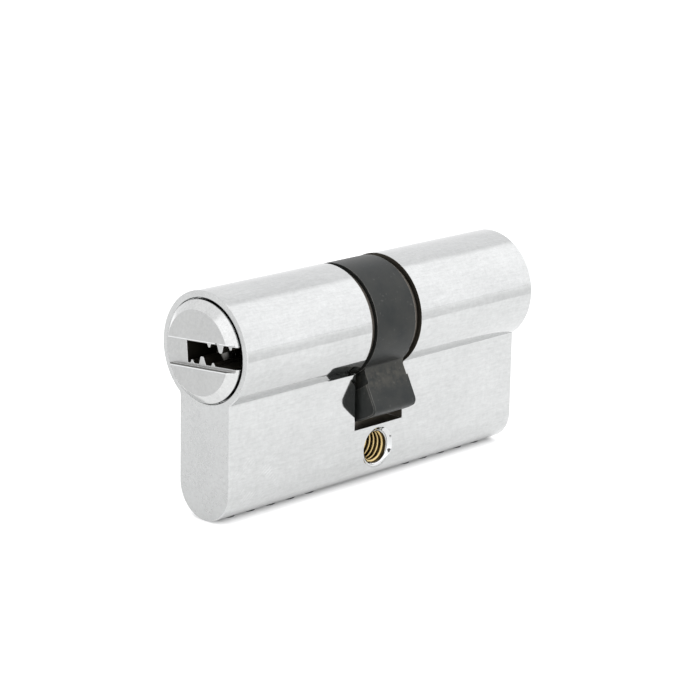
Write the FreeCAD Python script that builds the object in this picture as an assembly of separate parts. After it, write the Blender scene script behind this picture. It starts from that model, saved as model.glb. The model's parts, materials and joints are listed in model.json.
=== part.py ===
import FreeCAD, Part
import os

os.makedirs("parts", exist_ok=True)

V = FreeCAD.Vector
X_AXIS, Y_AXIS, Z_AXIS = V(1, 0, 0), V(0, 1, 0), V(0, 0, 1)

# A euro profile double cylinder, in millimetres. X runs along the cylinder from the outer key face (-X)
# to the inner one (+X), Z is up, and the underside of the leg lies on Z = 0.

# Body: a round over a narrow leg with a full-radius foot
BODY_R = 8.5
BODY_H = 33.0
BODY_HALF = 30.0
LEG_W = 10.0
EDGE_BREAK = 0.12
AXIS_Z = BODY_H - BODY_R

# Slot the cam turns in, cut a little wider towards the outer side through the round
SLOT_HALF = 5.05
SLOT_DEPTH = 15.47
ROUND_SLOT_X = -5.45
ROUND_SLOT_DEPTH = 6.87

# Fixing screw hole, M5, bored to the full thread diameter
SCREW_Z = 5.55
SCREW_R = 2.5
SINK_R = 3.05

# Plugs
PLUG_R = 6.5
RUN = 0.04
PLUG_END = 3.1
HEAD_R = 7.3
HEAD_SEAT = 28.3
HEAD_GAP = 0.2
SEAT_BREAK = 0.08
BEVEL_X = 30.35
FACE_R = 6.05
FACE_X = 31.4
FACE_GROOVE = (-2.15, 1.65)
FACE_GROOVE_X = 30.6
OUTER_TURN = -4.5

# Keyway, across the plug: blind edge, floor and roof, then the ribs as (y, height, base width, tip radius)
KEY_EDGE = 2.88
KEY_FLOOR, KEY_ROOF = -1.75, 1.35
ROOF_RIBS = [(-1.62, 0.54, 0.85, 0.22), (-3.84, 1.15, 1.3, 0.38), (-5.85, 0.48, 0.75, 0.2)]
FLOOR_RIBS = [(1.97, 0.48, 0.75, 0.2), (-0.07, 1.15, 1.4, 0.38), (-2.22, 0.47, 0.85, 0.22)]

# Retaining clips in the gaps beside the cam
CLIP_GROOVE = (3.95, 5.05)
CLIP_GROOVE_R = 5.8
CLIP_IN_R, CLIP_OUT_R = 5.84, 7.9
CLIP_T = 0.7
CLIP_GAP_W = 7.5
OUTER_CLIP_X, INNER_CLIP_X = -5.03, 4.0

# Pin stacks: five per side, key pins in the plug and driver pins in the leg
STACK_X = [26.1, 22.15, 18.2, 14.25, 10.3]
CHAMBER_R = 1.5
PIN_R = 1.44
STEP_R = 3.4
TIP_HOLE_R, TIP_R = 1.3, 1.25
KEY_PIN_FOOT, KEY_PIN_SHOULDER = 6.42, 4.22
TIP_HEIGHTS = [-0.15, -0.9, -0.5, -1.0, -1.3]
DRIVER_TOP = 6.56
DRIVER_LENGTHS = [4.3, 4.75, 4.15, 4.55, 4.85]
CHAMBER_PLUG_L = 2.2
SPRING_MEAN_R, SPRING_WIRE_R = 1.12, 0.17
SPRING_TURNS = 9

# Clutch between the plugs
CLUTCH_BORE_R, CLUTCH_R = 3.6, 3.52
NOTCH_R, WING_R = 5.0, 4.92
PLUG_NOTCH_W, CAM_NOTCH_W, WING_W = 4.0, 3.1, 3.0
RECESS_X = 8.0
DOG_L, DOG_GAP = 3.75, 1.0
DOG_OUT = 5.5
PUSHER_R, PUSHER_L = 2.5, 2.0
POCKET_R, POCKET_L = 1.95, 2.75
CLUTCH_MID = -DOG_OUT + DOG_L + DOG_GAP / 2
CLUTCH_SPRING_R, CLUTCH_WIRE_R = 1.5, 0.25

# Cam: a ring, set 0.2 mm towards the outer side of its neck, and a nose
CAM_HALF = 4.0
CAM_R = 8.4
RING_X = (-4.2, 3.8)
CAM_SEAT_R, CAM_SEAT_X = 6.54, 3.05
NECK_R = 10.6
NOSE_HALF = 4.45
NOSE_R = 15.0
NOSE_FLANK = ((5.0, 2.85), (16.5, 4.23))
NOSE_CORNER = 1.1
ROOT_FILLET = 0.8
CAM_EDGE = 0.2
CAM_TURN = -20.0


def rod(radius, x0, x1):
    """Solid cylinder on the plug axis from x0 to x1."""
    return Part.makeCylinder(radius, x1 - x0, V(x0, 0, 0), X_AXIS)


def post(radius, x, z0, z1):
    """Solid cylinder standing in a pin chamber from z0 up to z1."""
    return Part.makeCylinder(radius, z1 - z0, V(x, 0, z0), Z_AXIS)


def block(x0, x1, y0, y1, z0, z1):
    return Part.makeBox(x1 - x0, y1 - y0, z1 - z0, V(x0, y0, z0))


def prism(points, x0, x1):
    """Polygon of (y, z) points extruded along X."""
    wire = Part.makePolygon([V(x0, y, z) for y, z in points + points[:1]])
    return Part.Face(wire).extrude(V(x1 - x0, 0, 0))


def turned(outline):
    """Solid of revolution about X from (x, r) points that start and end on the axis."""
    wire = Part.makePolygon([V(x, r, 0) for x, r in outline + outline[:1]])
    return Part.Face(wire).revolve(V(0, 0, 0), X_AXIS, 360)


def turned_upright(x, outline):
    """Solid of revolution about a vertical line at x from (r, z) points that start and end on it."""
    wire = Part.makePolygon([V(x + r, 0, z) for r, z in outline + outline[:1]])
    return Part.Face(wire).revolve(V(x, 0, 0), Z_AXIS, 360)


def coil(mean_r, wire_r, length, turns):
    """Compression spring standing on Z = 0 with its wire inside the given length."""
    rise = length - 2 * wire_r
    path = Part.makeHelix(rise / turns, rise, mean_r)
    start = Part.Wire(Part.makeCircle(wire_r, V(mean_r, 0, 0), Y_AXIS))
    spring = Part.Wire(path).makePipeShell([start], True, True)
    spring.translate(V(0, 0, wire_r))
    return spring


def placed(shape, angle=0.0, axis=X_AXIS):
    """Shape drawn about the plug axis, turned about it and lifted to its height in the body."""
    placement = FreeCAD.Placement(V(0, 0, AXIS_Z), FreeCAD.Rotation(axis, angle))
    return shape.transformed(placement.toMatrix())


def flipped(shape):
    """The same piece on the inner side: half a turn about the vertical."""
    return placed(shape, 180, Z_AXIS)


def save(name, shape):
    shape.exportStep("parts/" + name + ".step")


def body_blank():
    """Euro profile extruded over the whole length with its end edges broken."""
    half = LEG_W / 2
    shoulder = -(BODY_R ** 2 - half ** 2) ** 0.5
    foot = half - AXIS_Z
    x = -BODY_HALF
    edges = [
        Part.Arc(V(x, half, shoulder), V(x, 0, BODY_R), V(x, -half, shoulder)).toShape(),
        Part.makeLine(V(x, -half, shoulder), V(x, -half, foot)),
        Part.Arc(V(x, -half, foot), V(x, 0, -AXIS_Z), V(x, half, foot)).toShape(),
        Part.makeLine(V(x, half, foot), V(x, half, shoulder)),
    ]
    blank = Part.Face(Part.Wire(edges)).extrude(V(2 * BODY_HALF, 0, 0))
    ends = [e for e in blank.Edges if all(abs(abs(v.X) - BODY_HALF) < 1e-6 for v in e.Vertexes)]
    return blank.makeChamfer(EDGE_BREAK, ends)


def housing():
    body = body_blank()
    cuts = [
        block(-SLOT_HALF, SLOT_HALF, -10, 10, -SLOT_DEPTH, 10),
        block(ROUND_SLOT_X, 0, -10, 10, -ROUND_SLOT_DEPTH, 10),
    ]
    seat_r = HEAD_R + HEAD_GAP
    for side in (-1, 1):
        cuts.append(rod(PLUG_R + RUN, *sorted((side * 4, side * (BODY_HALF + 1)))))
        cuts.append(rod(seat_r, *sorted((side * HEAD_SEAT, side * (BODY_HALF + 1)))))
        lead = V(side * (BODY_HALF - SEAT_BREAK), 0, 0)
        cuts.append(Part.makeCone(seat_r, seat_r + 2 * SEAT_BREAK, 2 * SEAT_BREAK, lead, V(side, 0, 0)))
        cuts += [post(CHAMBER_R, side * x, -AXIS_Z - 1, -PLUG_R + 1) for x in STACK_X]
    screw_z = SCREW_Z - AXIS_Z
    cuts.append(Part.makeCylinder(SCREW_R, LEG_W + 2, V(0, -LEG_W / 2 - 1, screw_z), Y_AXIS))
    for side in (-1, 1):
        mouth = V(0, side * LEG_W / 2, screw_z)
        cuts.append(Part.makeCone(SINK_R, SCREW_R, SINK_R - SCREW_R, mouth, V(0, -side, 0)))
    for tool in cuts:
        body = body.cut(tool)
    return body


def keyway():
    """Free space of the keyway, open at the plug's -Y side, from the key face to the clutch recess."""
    x0, x1 = -FACE_X - 1, -RECESS_X + 0.5
    space = block(x0, x1, -HEAD_R - 1, KEY_EDGE, KEY_FLOOR, KEY_ROOF)
    ribs = [(y, KEY_ROOF, -1, h, w, r) for y, h, w, r in ROOF_RIBS]
    ribs += [(y, KEY_FLOOR, 1, h, w, r) for y, h, w, r in FLOOR_RIBS]
    for y, base, way, height, width, tip in ribs:
        centre = base + way * (height - tip)
        under = base - way * 0.5
        flank = [(y - width / 2, base), (y - tip, centre), (y + tip, centre), (y + width / 2, base)]
        flank += [(y + width / 2, under), (y - width / 2, under)]
        space = space.cut(prism(flank, x0, x1))
        space = space.cut(Part.makeCylinder(tip, x1 - x0, V(x0, y, centre), X_AXIS))
    return space


def cross_slot(width, radius, x0, x1):
    """Round bore with two opposite notches, used where the clutch wings run."""
    wings = block(x0, x1, -width / 2, width / 2, -radius, radius).common(rod(radius, x0, x1))
    return rod(CLUTCH_BORE_R, x0, x1).fuse(wings)


def plug():
    """Plug with its key face towards -X."""
    shape = turned([
        (-PLUG_END, 0), (-PLUG_END, PLUG_R - 0.15), (-PLUG_END - 0.15, PLUG_R),
        (-CLIP_GROOVE[0], PLUG_R), (-CLIP_GROOVE[0], CLIP_GROOVE_R),
        (-CLIP_GROOVE[1], CLIP_GROOVE_R), (-CLIP_GROOVE[1], PLUG_R),
        (-HEAD_SEAT - 0.03, PLUG_R), (-HEAD_SEAT - 0.03, HEAD_R), (-BEVEL_X, HEAD_R),
        (-FACE_X, FACE_R), (-FACE_X, 0),
    ])
    shape = shape.cut(cross_slot(PLUG_NOTCH_W, NOTCH_R, -RECESS_X, -PLUG_END + 1))
    shape = shape.cut(keyway())
    shape = shape.cut(block(-FACE_X - 1, -FACE_GROOVE_X, -9, 9, FACE_GROOVE[0], FACE_GROOVE[1]))
    for x in STACK_X:
        shape = shape.cut(post(CHAMBER_R, -x, -PLUG_R - 1, -STEP_R))
        shape = shape.cut(post(TIP_HOLE_R, -x, -STEP_R - 0.5, -0.5))
    return shape


def clip(x):
    """Spring clip, open towards +Y, with its -X face at x."""
    ring = rod(CLIP_OUT_R, x, x + CLIP_T).cut(rod(CLIP_IN_R, x - 1, x + CLIP_T + 1))
    return ring.cut(block(x - 1, x + CLIP_T + 1, 0, 10, -CLIP_GAP_W / 2, CLIP_GAP_W / 2))


def key_pin(x, tip_z):
    return turned_upright(x, [
        (0, -KEY_PIN_FOOT), (PIN_R - 0.4, -KEY_PIN_FOOT), (PIN_R, -KEY_PIN_FOOT + 0.35),
        (PIN_R, -KEY_PIN_SHOULDER - 0.1), (PIN_R - 0.1, -KEY_PIN_SHOULDER), (TIP_R, -KEY_PIN_SHOULDER),
        (TIP_R, tip_z - 0.3), (TIP_R - 0.12, tip_z - 0.1), (TIP_R - 0.35, tip_z), (0, tip_z),
    ])


def driver_pin(x, length):
    return turned_upright(x, [
        (0, -DRIVER_TOP), (PIN_R - 0.25, -DRIVER_TOP), (PIN_R, -DRIVER_TOP - 0.25),
        (PIN_R, -DRIVER_TOP - length + 0.15), (PIN_R - 0.15, -DRIVER_TOP - length),
        (0, -DRIVER_TOP - length),
    ])


def pin_spring(x, driver_length):
    foot = CHAMBER_PLUG_L - AXIS_Z + 0.02
    spring = coil(SPRING_MEAN_R, SPRING_WIRE_R, -DRIVER_TOP - driver_length - 0.02 - foot, SPRING_TURNS)
    spring.translate(V(x, 0, foot))
    return spring


def chamber_plugs():
    """Five press-fit plugs that close the chambers, flat-ended across the round of the foot."""
    return Part.makeCompound([post(CHAMBER_R, -x, -AXIS_Z, CHAMBER_PLUG_L - AXIS_Z) for x in STACK_X])


def clutch_dog():
    """Outer half of the clutch: winged dog with a pusher towards the key and a spring pocket behind."""
    inner = -DOG_OUT + DOG_L
    wings = block(-DOG_OUT, inner, -WING_W / 2, WING_W / 2, -WING_R, WING_R)
    dog = rod(CLUTCH_R, -DOG_OUT, inner).fuse(wings.common(rod(WING_R, -DOG_OUT, inner)))
    dog = dog.fuse(rod(PUSHER_R, -DOG_OUT - PUSHER_L, -DOG_OUT))
    return dog.cut(rod(POCKET_R, inner - POCKET_L, inner + 1)).removeSplitter()


def clutch_spring():
    reach = POCKET_L + DOG_GAP / 2
    spring = coil(CLUTCH_SPRING_R, CLUTCH_WIRE_R, 2 * reach - 0.04, 6)
    spring.rotate(V(0, 0, 0), Y_AXIS, 90)
    spring.translate(V(CLUTCH_MID - reach + 0.02, 0, 0))
    return spring


def nose_block(half, radius):
    """Flared nose hanging straight down from the axis out to the given radius."""
    (top, top_w), (foot, foot_w) = NOSE_FLANK
    points = [(-top_w, -top), (-foot_w, -foot), (foot_w, -foot), (top_w, -top)]
    return prism(points, -half, half).common(rod(radius, -half, half))


def cam():
    ring = rod(CAM_R, -CAM_HALF, CAM_HALF).fuse(nose_block(CAM_HALF, NECK_R)).removeSplitter()
    roots = [
        e for e in ring.Edges
        if all(abs((v.Y ** 2 + v.Z ** 2) ** 0.5 - CAM_R) < 1e-4 for v in e.Vertexes)
        and abs(e.Vertexes[0].X - e.Vertexes[-1].X) > CAM_HALF
        and e.Vertexes[0].Z < 0 and len(e.Vertexes) == 2
    ]
    ring = ring.makeFillet(ROOT_FILLET, roots)
    nose = nose_block(NOSE_HALF, NOSE_R)
    corners = [
        e for e in nose.Edges
        if all(abs((v.Y ** 2 + v.Z ** 2) ** 0.5 - NOSE_R) < 1e-4 for v in e.Vertexes)
        and abs(e.Vertexes[0].X - e.Vertexes[-1].X) > NOSE_HALF
    ]
    nose = nose.makeFillet(NOSE_CORNER, corners)
    for radius, x0, x1 in ((NECK_R - 0.3, -10, 10), (NECK_R, -10, -CAM_HALF), (NECK_R, CAM_HALF, 10)):
        nose = nose.cut(rod(radius, x0, x1))
    rim = [
        e for e in nose.Edges
        if all(abs(abs(v.X) - NOSE_HALF) < 1e-6 for v in e.Vertexes)
        and any((v.Y ** 2 + v.Z ** 2) ** 0.5 > NECK_R + 0.1 for v in e.Vertexes)
    ]
    nose = nose.makeChamfer(CAM_EDGE, rim)
    shape = ring.fuse(nose).removeSplitter()
    nose_side = block(-10, 10, -12, 12, -20, -0.78 * CAM_R)
    shape = shape.fuse(rod(CAM_R, RING_X[0], 0)).cut(rod(CAM_R + 1, RING_X[1], 5).cut(nose_side))
    for side in (-1, 1):
        shape = shape.cut(rod(CAM_SEAT_R, *sorted((side * CAM_SEAT_X, side * 5))))
    notches = cross_slot(CAM_NOTCH_W, NOTCH_R, -CAM_HALF, CAM_HALF)
    notches.rotate(V(0, 0, 0), X_AXIS, OUTER_TURN - CAM_TURN)
    return shape.cut(notches)


save("housing", placed(housing()))
save("outer_plug", placed(plug(), OUTER_TURN))
save("inner_plug", flipped(plug()))
save("outer_clip", placed(clip(OUTER_CLIP_X), OUTER_TURN))
save("inner_clip", placed(clip(INNER_CLIP_X)))
save("cam", placed(cam(), CAM_TURN))

inner_dog = clutch_dog()
inner_dog.rotate(V(CLUTCH_MID, 0, 0), Z_AXIS, 180)
save("outer_clutch_dog", placed(clutch_dog(), OUTER_TURN))
save("inner_clutch_dog", placed(inner_dog, OUTER_TURN))
save("clutch_spring", placed(clutch_spring(), OUTER_TURN))

for number, (x, tip_z, length) in enumerate(zip(STACK_X, TIP_HEIGHTS, DRIVER_LENGTHS), 1):
    save(f"outer_key_pin_{number}", placed(key_pin(-x, tip_z), OUTER_TURN))
    save(f"inner_key_pin_{number}", flipped(key_pin(-x, tip_z)))
    save(f"outer_driver_pin_{number}", placed(driver_pin(-x, length)))
    save(f"inner_driver_pin_{number}", flipped(driver_pin(-x, length)))
    save(f"outer_pin_spring_{number}", placed(pin_spring(-x, length)))
    save(f"inner_pin_spring_{number}", flipped(pin_spring(-x, length)))
save("outer_chamber_plugs", placed(chamber_plugs()))
save("inner_chamber_plugs", flipped(chamber_plugs()))
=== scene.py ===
import json
import math

import bmesh
import bpy
from mathutils import Matrix, Vector


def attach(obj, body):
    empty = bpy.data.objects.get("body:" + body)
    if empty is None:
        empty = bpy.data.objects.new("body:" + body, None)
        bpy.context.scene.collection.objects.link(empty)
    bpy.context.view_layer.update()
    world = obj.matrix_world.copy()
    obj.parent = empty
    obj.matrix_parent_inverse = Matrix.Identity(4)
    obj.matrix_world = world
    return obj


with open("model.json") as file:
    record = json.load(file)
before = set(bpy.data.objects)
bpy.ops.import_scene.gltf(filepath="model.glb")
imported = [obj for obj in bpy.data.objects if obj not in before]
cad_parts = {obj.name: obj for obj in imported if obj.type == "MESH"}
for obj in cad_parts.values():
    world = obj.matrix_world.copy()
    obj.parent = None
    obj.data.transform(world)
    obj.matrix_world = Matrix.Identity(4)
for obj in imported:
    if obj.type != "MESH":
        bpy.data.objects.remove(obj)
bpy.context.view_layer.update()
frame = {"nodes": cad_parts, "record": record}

MM = 0.001
AXIS_Z = 24.5 * MM              # height of the plugs' axis
SCREW_Z = 5.55 * MM             # height of the fixing screw hole
REST_TURN = math.radians(4.5)   # how far the outer plug is turned at rest
AXIS = Vector((0.0, 0.0, AXIS_Z))


# ---------------------------------------------------------------- node helpers

def fill_ramp(node, stops, blue=1.0):
    """Sets a grey colour ramp's stops from pairs of position and value."""
    elements = node.color_ramp.elements
    while len(elements) < len(stops):
        elements.new(0.5)
    for element, (place, value) in zip(elements, stops):
        element.position, element.color = place, (value, value, value * blue, 1)


class Nodes:
    """Small wrapper that adds and links shader nodes."""

    def __init__(self, name):
        self.mat = bpy.data.materials.new(name)
        self.mat.use_nodes = True
        self.tree = self.mat.node_tree
        self.tree.nodes.clear()
        self.out = self.tree.nodes.new("ShaderNodeOutputMaterial")
        self.bsdf = self.tree.nodes.new("ShaderNodeBsdfPrincipled")
        self.link(self.bsdf.outputs[0], self.out.inputs[0])

    def link(self, a, b):
        self.tree.links.new(a, b)

    def add(self, kind, inputs=None, **props):
        node = self.tree.nodes.new(kind)
        for key, value in props.items():
            setattr(node, key, value)
        for key, value in (inputs or {}).items():
            socket = node.inputs[key]
            if isinstance(value, bpy.types.NodeSocket):
                self.link(value, socket)
            else:
                socket.default_value = value
        return node

    def math(self, op, a, b=0.0, clamp=False):
        return self.add("ShaderNodeMath", {0: a, 1: b}, operation=op, use_clamp=clamp).outputs[0]

    def ramp(self, fac, stops):
        node = self.add("ShaderNodeValToRGB", {"Fac": fac})
        fill_ramp(node, stops)
        return node.outputs["Color"]

    def mix(self, fac, a, b, blend="MIX"):
        node = self.add("ShaderNodeMix", data_type="RGBA", blend_type=blend, clamp_factor=True)
        for socket, value in ((node.inputs["Factor"], fac), (node.inputs[6], a), (node.inputs[7], b)):
            if isinstance(value, bpy.types.NodeSocket):
                self.link(value, socket)
            elif isinstance(value, tuple):
                socket.default_value = (*value, 1)
            else:
                socket.default_value = value
        return node.outputs[2]

    def coords(self, scale=(1, 1, 1), rotation=(0, 0, 0)):
        place = self.add("ShaderNodeTexCoord").outputs["Object"]
        return self.add("ShaderNodeMapping", {
            "Vector": place, "Scale": scale, "Rotation": rotation}).outputs[0]

    def noise(self, vector, scale, detail, rough):
        return self.add("ShaderNodeTexNoise", {
            "Vector": vector, "Scale": scale, "Detail": detail, "Roughness": rough}).outputs["Fac"]

    def bump(self, height, strength, distance, normal=None):
        inputs = {"Height": height, "Strength": strength, "Distance": distance}
        if normal is not None:
            inputs["Normal"] = normal
        return self.add("ShaderNodeBump", inputs).outputs[0]

    def set(self, **values):
        for key, value in values.items():
            socket = self.bsdf.inputs[key.replace("_", " ")]
            if isinstance(value, bpy.types.NodeSocket):
                self.link(value, socket)
            elif isinstance(value, tuple) and len(value) == 3:
                socket.default_value = (*value, 1)
            else:
                socket.default_value = value


def separate(n, vector):
    return n.add("ShaderNodeSeparateXYZ", {0: vector}).outputs[:3]


def place_and_normal(n):
    """The three parts of the surface's place on its object, and of its normal."""
    place = separate(n, n.add("ShaderNodeTexCoord").outputs["Object"])
    return *place, *separate(n, n.add("ShaderNodeNewGeometry").outputs["Normal"])


def rounded_edge(n, radius):
    """Normal rounded over the edges, and how well it agrees with the flat one: below 1 at an edge."""
    edge = n.add("ShaderNodeBevel", {"Radius": radius}, samples=6).outputs[0]
    flat = n.add("ShaderNodeNewGeometry").outputs["Normal"]
    return edge, n.add("ShaderNodeVectorMath", {0: edge, 1: flat}, operation="DOT_PRODUCT").outputs["Value"]


def band(n, value, low, high, soft):
    """1 where value lies between low and high, with soft edges."""
    up = n.add("ShaderNodeMapRange", {"Value": value, "From Min": low - soft, "From Max": low + soft})
    down = n.add("ShaderNodeMapRange", {"Value": value, "From Min": high + soft, "From Max": high - soft})
    return n.math("MULTIPLY", up.outputs[0], down.outputs[0])


def plating(name, mask=None, base=(0.54, 0.547, 0.544), rough=0.06, lip=0.1 * MM, duller=0.13):
    """Satin chrome over brass, duller on the end faces. The mask gives where it is bare metal painted dark as
    shade, and where a painted highlight goes.
    """
    n = Nodes(name)
    x, _, z, nx, ny, _ = place_and_normal(n)
    grain = n.noise(n.coords(), 1500.0, 3.0, 0.7)
    cloud = n.noise(n.coords((0.5, 1, 1)), 150.0, 4.0, 0.6)
    polish = n.noise(n.coords((90, 700, 700), (0.0, 0.6, 0.1)), 5.0, 3.0, 0.7)
    end_face = n.math("GREATER_THAN", n.math("ABSOLUTE", nx), 0.95)
    tone = n.math("ADD", n.math("MULTIPLY", grain, 0.26), n.math("MULTIPLY", cloud, 0.2))
    tone = n.math("ADD", n.math("ADD", tone, n.math("MULTIPLY", polish, 0.26)), 0.63)
    tone = n.math("MULTIPLY", tone, n.math("SUBTRACT", 1.0, n.math("MULTIPLY", end_face, duller)))
    # handling marks: fine arcs low on the outer half of the leg, and a few stray scratches
    dx, dz = n.math("ADD", x, 13 * MM), n.math("ADD", z, 9 * MM)
    reach = n.math("SQRT", n.math("ADD", n.math("MULTIPLY", dx, dx), n.math("MULTIPLY", dz, dz)))
    wavy = n.math("ADD", reach, n.math("MULTIPLY", cloud, 0.6 * MM))
    arcs = n.math("SINE", n.math("MULTIPLY", wavy, 14000.0))
    arcs = n.math("MULTIPLY", n.ramp(arcs, [(0.0, 0.0), (0.5, 0.0), (1.0, 1.0)]),
                  n.ramp(n.noise(n.coords(), 420.0, 2.0, 0.6), [(0.0, 0.0), (0.48, 0.0), (0.6, 1.0)]))
    patch = n.math("MULTIPLY", band(n, x, -28.5 * MM, -21 * MM, 1.5 * MM),
                   band(n, z, 3.5 * MM, 9 * MM, 1.5 * MM))
    arcs = n.math("MULTIPLY", n.math("MULTIPLY", arcs, patch), n.math("LESS_THAN", ny, -0.9))
    stray = n.ramp(n.noise(n.coords((500, 60, 60), (0.1, 0.7, 0.3)), 9.0, 1.0, 0.4),
                   [(0.0, 0.0), (0.7, 0.0), (0.72, 1.0), (0.74, 0.0), (1.0, 0.0)])
    tone = n.math("ADD", tone, n.math("MULTIPLY", arcs, 0.16))
    tone = n.math("SUBTRACT", tone, n.math("MULTIPLY", stray, 0.06))
    colour = n.mix(1.0, base, tone, "MULTIPLY")
    roughness = n.math("ADD", n.math("MULTIPLY", cloud, rough * 0.6), rough * 0.7)
    roughness = n.math("ADD", roughness, n.math("MULTIPLY", grain, 0.03))
    roughness = n.math("ADD", roughness, n.math("MULTIPLY", end_face, 0.2))
    relief = n.math("ADD", n.math("MULTIPLY", grain, 0.5), n.math("MULTIPLY", polish, 0.8))
    relief = n.math("ADD", relief, n.math("MULTIPLY", arcs, 0.4))
    relief = n.math("SUBTRACT", relief, n.math("MULTIPLY", stray, 0.5))
    if mask is not None:
        bare, painted_highlight = mask(n)
        # painted highlight: the countersink and the edges of the face groove are painted bright, broken by dark
        # spots
        dark_spots = n.ramp(n.noise(n.coords(), 700.0, 2.0, 0.5), [(0.0, 1.0), (0.33, 1.0), (0.37, 0.0), (1.0, 0.0)])
        colour = n.mix(painted_highlight, colour, n.mix(dark_spots, (0.66, 0.67, 0.67), (0.06, 0.06, 0.06)))
        # painted shade: bare metal in the slot, the bores, the keyway and on the groove ledge is painted dark
        # brown, a little lighter low in the slot
        painted_shade_tone = n.mix(cloud, (0.05, 0.046, 0.039), (0.14, 0.125, 0.10))
        low_in_slot = n.math("MULTIPLY", band(n, z, 8.5 * MM, 14 * MM, 1.5 * MM), 0.6)
        painted_shade_tone = n.mix(low_in_slot, painted_shade_tone, (0.26, 0.235, 0.2))
        colour = n.mix(bare, colour, painted_shade_tone)
        roughness = n.math("ADD", roughness, n.math("MULTIPLY", bare, 0.3))
    # painted highlight: edges rounded by the bevel normal are painted a brighter grey
    edge, agreement = rounded_edge(n, lip)
    bright = n.ramp(agreement, [(0.0, 1.0), (0.82, 1.0), (0.93, 0.0)])
    colour = n.mix(n.math("MULTIPLY", bright, 0.7), colour, (0.74, 0.745, 0.74))
    n.set(Base_Color=colour, Metallic=1.0, Roughness=roughness, Normal=n.bump(relief, 0.07, 0.02 * MM, edge))
    return n.mat


def slot_and_bores(n):
    """Bare metal inside the cam slot and the screw hole, painted dark as shade, and a painted highlight on the
    countersink round the hole.
    """
    x, _, z, nx, ny, nz = place_and_normal(n)
    near = band(n, x, -5.6 * MM, 5.2 * MM, 0.02 * MM)
    facing = n.math("GREATER_THAN", n.math("ABSOLUTE", nx), 0.9)
    walls = n.math("MULTIPLY", near, facing)
    floor = n.math("MULTIPLY", n.math("MULTIPLY", band(n, z, 8.9 * MM, 9.2 * MM, 0.01 * MM),
                                      n.math("GREATER_THAN", nz, 0.95)), near)
    dx = n.math("POWER", x, 2.0)
    dz = n.math("POWER", n.math("SUBTRACT", z, SCREW_Z), 2.0)
    radius = n.math("SQRT", n.math("ADD", dx, dz))
    inside = n.math("LESS_THAN", n.math("ABSOLUTE", ny), 0.9)
    hole = n.math("LESS_THAN", radius, 2.53 * MM)
    painted_countersink_highlight = n.math("MULTIPLY", n.math("LESS_THAN", radius, 3.07 * MM), n.math("SUBTRACT", inside, hole, True))
    return n.math("MAXIMUM", n.math("MAXIMUM", walls, floor), hole), painted_countersink_highlight


def keyway_inside(n):
    """Painted shade on the metal inside the plug and on the ledge of the groove across its face; painted
    highlights along the groove's two edges.
    """
    x, y, z, nx, _, nz = place_and_normal(n)
    up = n.math("SUBTRACT", z, AXIS_Z)
    radius = n.math("SQRT", n.math("ADD", n.math("MULTIPLY", y, y), n.math("MULTIPLY", up, up)))
    outside = n.math("GREATER_THAN", n.math("ABSOLUTE", x), 30.55 * MM)
    deep = n.math("MULTIPLY", n.math("SUBTRACT", 1.0, outside), n.math("LESS_THAN", radius, 6.4 * MM))
    # painted shade on the upward-facing groove ledge and inside the plug
    ledge = n.math("MULTIPLY", outside, n.math("GREATER_THAN", nz, 0.9))
    # the outer plug rests a little turned, so its groove is followed along that slope
    turned = n.math("MULTIPLY", n.math("MULTIPLY", y, math.sin(REST_TURN)), n.math("LESS_THAN", x, 0.0))
    across = n.math("ADD", up, turned)
    # painted highlight: bright lines painted along the groove's edges on the plug's face
    painted_lip_highlights = n.math("MAXIMUM", band(n, across, 1.64 * MM, 1.80 * MM, 0.03 * MM),
                  band(n, across, -2.31 * MM, -2.14 * MM, 0.03 * MM))
    front = n.math("MULTIPLY", n.math("GREATER_THAN", n.math("ABSOLUTE", x), 30.7 * MM),
                   n.math("GREATER_THAN", n.math("ABSOLUTE", nx), 0.5))
    return n.math("MAXIMUM", deep, n.math("MULTIPLY", ledge, 0.8)), n.math("MULTIPLY", painted_lip_highlights, front)


def blackened_steel():
    """Black sintered steel with worn edges and a mottled patch at the nose's root."""
    n = Nodes("black_oxide")
    grain = n.noise(n.coords(), 3200.0, 3.0, 0.65)
    cloud = n.noise(n.coords(), 260.0, 4.0, 0.6)
    speck = n.ramp(n.noise(n.coords(), 2200.0, 2.0, 0.5), [(0.0, 0.0), (0.66, 0.0), (0.74, 1.0), (1.0, 1.0)])
    z = place_and_normal(n)[2]
    root = n.math("MULTIPLY", band(n, z, 15.4 * MM, 18.2 * MM, 0.9 * MM),
                  n.ramp(n.noise(n.coords(), 1100.0, 4.0, 0.7), [(0.0, 0.0), (0.38, 0.0), (0.6, 1.0)]))
    colour = n.mix(n.ramp(cloud, [(0.35, 0.0), (0.75, 1.0)]), (0.014, 0.0165, 0.0165), (0.031, 0.032, 0.029))
    _, agreement = rounded_edge(n, 0.1 * MM)
    worn = n.ramp(agreement, [(0.0, 1.0), (0.93, 1.0), (0.995, 0.0)])
    worn = n.math("MULTIPLY", worn, n.ramp(cloud, [(0.35, 0.25), (0.6, 1.0)]))
    colour = n.mix(n.math("MULTIPLY", root, 0.4), colour, (0.085, 0.078, 0.062))
    colour = n.mix(n.math("MULTIPLY", worn, 0.75), colour, (0.33, 0.32, 0.30))
    colour = n.mix(n.math("MULTIPLY", speck, 0.2), colour, (0.15, 0.15, 0.145))
    roughness = n.add("ShaderNodeMapRange", {"Value": cloud, "To Min": 0.36, "To Max": 0.52}).outputs[0]
    n.set(Base_Color=colour, Metallic=0.55, Roughness=roughness, Normal=n.bump(grain, 0.22, 0.03 * MM))
    return n.mat


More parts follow.
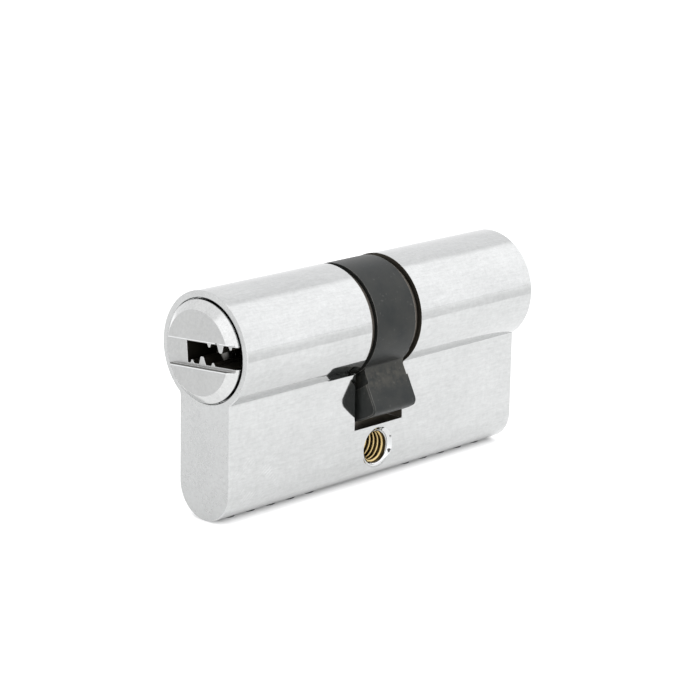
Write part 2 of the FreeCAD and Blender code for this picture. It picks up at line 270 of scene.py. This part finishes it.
def plain_metal(name, dark, light, rough, turned=True):
    """Bare metal between two tones, with turning lines round the Z axis or a plain grain."""
    n = Nodes(name)
    scale = (1, 1, 900) if turned else (1, 1, 1)
    lines = n.noise(n.coords(scale), 12.0 if turned else 900.0, 3.0, 0.6)
    cloud = n.noise(n.coords(), 420.0, 3.0, 0.6)
    n.set(Base_Color=n.mix(cloud, dark, light), Metallic=1.0,
          Roughness=n.math("ADD", n.math("MULTIPLY", lines, 0.12), rough),
          Normal=n.bump(lines, 0.15, 0.02 * MM))
    return n.mat


finishes = {
    "plated_body": plating("body_plating", slot_and_bores),
    "plated_plug": plating("plug_plating", keyway_inside, (0.585, 0.59, 0.585), 0.12, 0.16 * MM, 0.27),
    "blackened_steel": blackened_steel(),
    "clip_steel": plain_metal("clip_steel", (0.13, 0.117, 0.103), (0.20, 0.18, 0.157), 0.38, turned=False),
    "clutch_steel": plain_metal("clutch_steel", (0.30, 0.30, 0.29), (0.46, 0.46, 0.45), 0.34, turned=False),
    "spring_steel": plain_metal("spring_steel", (0.5, 0.5, 0.5), (0.66, 0.66, 0.65), 0.22, turned=False),
    # chamber plugs: steel painted dark grey as shade where the foot meets the table
    "plug_steel": plain_metal("plug_steel", (0.05, 0.052, 0.055), (0.13, 0.135, 0.14), 0.4),
    "pin_brass": plain_metal("pin_brass", (0.56, 0.41, 0.18), (0.75, 0.58, 0.30), 0.24),
    # key pins: nickel silver painted dark as shade inside the keyway
    "nickel_silver": plain_metal("nickel_silver", (0.15, 0.147, 0.14), (0.3, 0.295, 0.28), 0.3),
}
for entry in frame["record"]["subparts"]:
    node = frame["nodes"][entry["node"]]
    node.data.materials.clear()
    node.data.materials.append(finishes[entry["material_slot"]])


# ------------------------------------------------------------- thread of the fixing screw hole

def thread():
    """Helical ridge of the M5 thread on the wall of the screw hole, in millimetres until it is placed.

    The countersink's cone cuts the ridge off at both faces of the leg, and the cut crests are plated.
    """
    pitch, root, crest, half = 0.8, 2.52, 2.1, 5.0
    mouth, bore, steps = 3.05, 2.46, 48
    profile = [(root, -0.36), (crest + 0.04, -0.07), (crest, 0.0), (crest + 0.04, 0.07), (root, 0.36)]
    turns = int(2 * half / pitch) + 1
    mesh = bmesh.new()
    rows, cut = [], {}
    for i in range(turns * steps + 1):
        angle = 2 * math.pi * i / steps
        along = -half - 0.2 + pitch * i / steps
        row = []
        for radius, offset in profile:
            y = along + offset
            cone = mouth - (half - abs(y))
            r = cone + 0.04 if cone > bore else max(radius, cone)
            y = max(-half + 0.02, min(half - 0.02, y))
            vert = mesh.verts.new((r * math.cos(angle), y, r * math.sin(angle)))
            cut[vert] = crest < cone
            row.append(vert)
        rows.append(row)
    for a, b in zip(rows, rows[1:]):
        for j in range(len(profile) - 1):
            face = mesh.faces.new((a[j], b[j], b[j + 1], a[j + 1]))
            face.material_index = 1 if sum(cut[v] for v in face.verts) > 2 else 0
        mesh.faces.new((a[-1], b[-1], b[0], a[0]))
    mesh.faces.new(rows[0])
    mesh.faces.new(list(reversed(rows[-1])))
    bmesh.ops.recalc_face_normals(mesh, faces=mesh.faces)
    data = bpy.data.meshes.new("screw_thread")
    mesh.to_mesh(data)
    mesh.free()
    data.transform(Matrix.Translation((0, 0, SCREW_Z)) @ Matrix.Scale(MM, 4))
    for polygon in data.polygons:
        polygon.use_smooth = True
    ridge = bpy.data.objects.new("screw_thread", data)
    bpy.context.scene.collection.objects.link(ridge)
    data.materials.append(
        plain_metal("thread_brass", (0.42, 0.31, 0.13), (0.70, 0.55, 0.28), 0.18, turned=False))
    data.materials.append(plating("thread_crests"))
    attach(ridge, "body")


thread()


# ------------------------------------------------------------- floor, lights, camera

def floor():
    """White table with a painted shadow beneath the foot, and slightly greyer from its front right edge
    outwards.
    """
    data = bpy.data.meshes.new("floor")
    s = 3.0
    data.from_pydata([(-s, -s, 0), (s, -s, 0), (s, s, 0), (-s, s, 0)], [], [(0, 1, 2, 3)])
    obj = bpy.data.objects.new("floor", data)
    bpy.context.scene.collection.objects.link(obj)
    n = Nodes("floor_white")
    x, y, _ = separate(n, n.add("ShaderNodeTexCoord").outputs["Object"])
    # painted shadow: the table's glow is lowered in a strip beneath the foot
    painted_contact_shadow = n.math("MULTIPLY", band(n, y, -2.5 * MM, 2.5 * MM, 1.5 * MM),
                   band(n, x, -29.5 * MM, 29.5 * MM, 1.0 * MM))
    beyond = n.math("MULTIPLY", band(n, y, -2.0, -72 * MM, 2 * MM), band(n, x, 25 * MM, 2.9, 10 * MM))
    fade = n.add("ShaderNodeMapRange", {"Value": y, "From Min": -72 * MM, "From Max": -0.35,
                                        "To Min": 0.2, "To Max": 0.08}).outputs[0]
    tone = n.math("SUBTRACT", 1.0, n.math("MULTIPLY", beyond, fade))
    glow = n.math("MULTIPLY", tone, n.math("SUBTRACT", 0.52, n.math("MULTIPLY", painted_contact_shadow, 0.44)))
    n.set(Base_Color=n.mix(tone, (0.0, 0.0, 0.0), (0.62, 0.62, 0.62)), Roughness=0.7, Specular_IOR_Level=0.1,
          Emission_Color=(1.0, 1.0, 1.0), Emission_Strength=glow)
    data.materials.append(n.mat)


floor()


def key_light():
    """Soft light from the front right, left out of reflections."""
    light = bpy.data.lights.new("key_soft", "AREA")
    light.shape = "RECTANGLE"
    light.size, light.size_y = 0.45, 0.35
    light.energy = 0.7
    obj = bpy.data.objects.new("key_soft", light)
    obj.location = AXIS + Vector((0.56, -0.36, 0.46))
    obj.rotation_euler = (AXIS - obj.location).to_track_quat("-Z", "Y").to_euler()
    obj.visible_glossy = False
    bpy.context.scene.collection.objects.link(obj)


key_light()


def studio():
    """Pale studio round the object: bright in front, a little greyer behind and at the horizon."""
    world = bpy.data.worlds.new("studio")
    world.use_nodes = True
    tree = world.node_tree
    direction = tree.nodes.new("ShaderNodeTexCoord").outputs["Generated"]
    split = tree.nodes.new("ShaderNodeSeparateXYZ")
    height = tree.nodes.new("ShaderNodeValToRGB")
    behind = tree.nodes.new("ShaderNodeMapRange")
    shade = tree.nodes.new("ShaderNodeMix")
    shade.data_type, shade.blend_type = "RGBA", "MULTIPLY"
    tree.links.new(direction, split.inputs[0])
    tree.links.new(split.outputs["Z"], height.inputs["Fac"])
    fill_ramp(height, [(0.0, 0.92), (0.1, 0.95), (0.35, 0.95), (0.6, 1.0), (1.0, 0.93)], 1.01)
    tree.links.new(split.outputs["Y"], behind.inputs["Value"])
    for key, value in (("From Min", 0.02), ("From Max", 0.14), ("To Min", 1.0), ("To Max", 0.74)):
        behind.inputs[key].default_value = value
    shade.inputs["Factor"].default_value = 1.0
    tree.links.new(height.outputs["Color"], shade.inputs[6])
    tree.links.new(behind.outputs[0], shade.inputs[7])
    tree.links.new(shade.outputs[2], tree.nodes["Background"].inputs["Color"])
    tree.nodes["Background"].inputs["Strength"].default_value = 1.62
    bpy.context.scene.world = world


studio()
bpy.context.scene.view_settings.view_transform = "Standard"

DISTANCE = 0.354715   # from the camera to the middle of the axis
camera_data = bpy.data.cameras.new("camera")
camera_data.sensor_width = 36.0
camera_data.lens = 125.1
camera_data.shift_x = -0.0078
camera_data.shift_y = -0.0496
camera_data.clip_start, camera_data.clip_end = 0.01, 20.0
camera = bpy.data.objects.new("camera", camera_data)
azimuth, elevation, roll = math.radians(-46.64), math.radians(14.095), math.radians(1.056)
back = Vector((math.sin(azimuth) * math.cos(elevation), -math.cos(azimuth) * math.cos(elevation),
               math.sin(elevation)))
right = Vector((0, 0, 1)).cross(back).normalized()
up = back.cross(right)
right, up = (math.cos(roll) * right + math.sin(roll) * up, -math.sin(roll) * right + math.cos(roll) * up)
turn = Matrix((right, up, back)).transposed().to_4x4()
camera.matrix_world = Matrix.Translation(AXIS + back * DISTANCE) @ turn
bpy.context.scene.collection.objects.link(camera)
bpy.context.scene.camera = camera
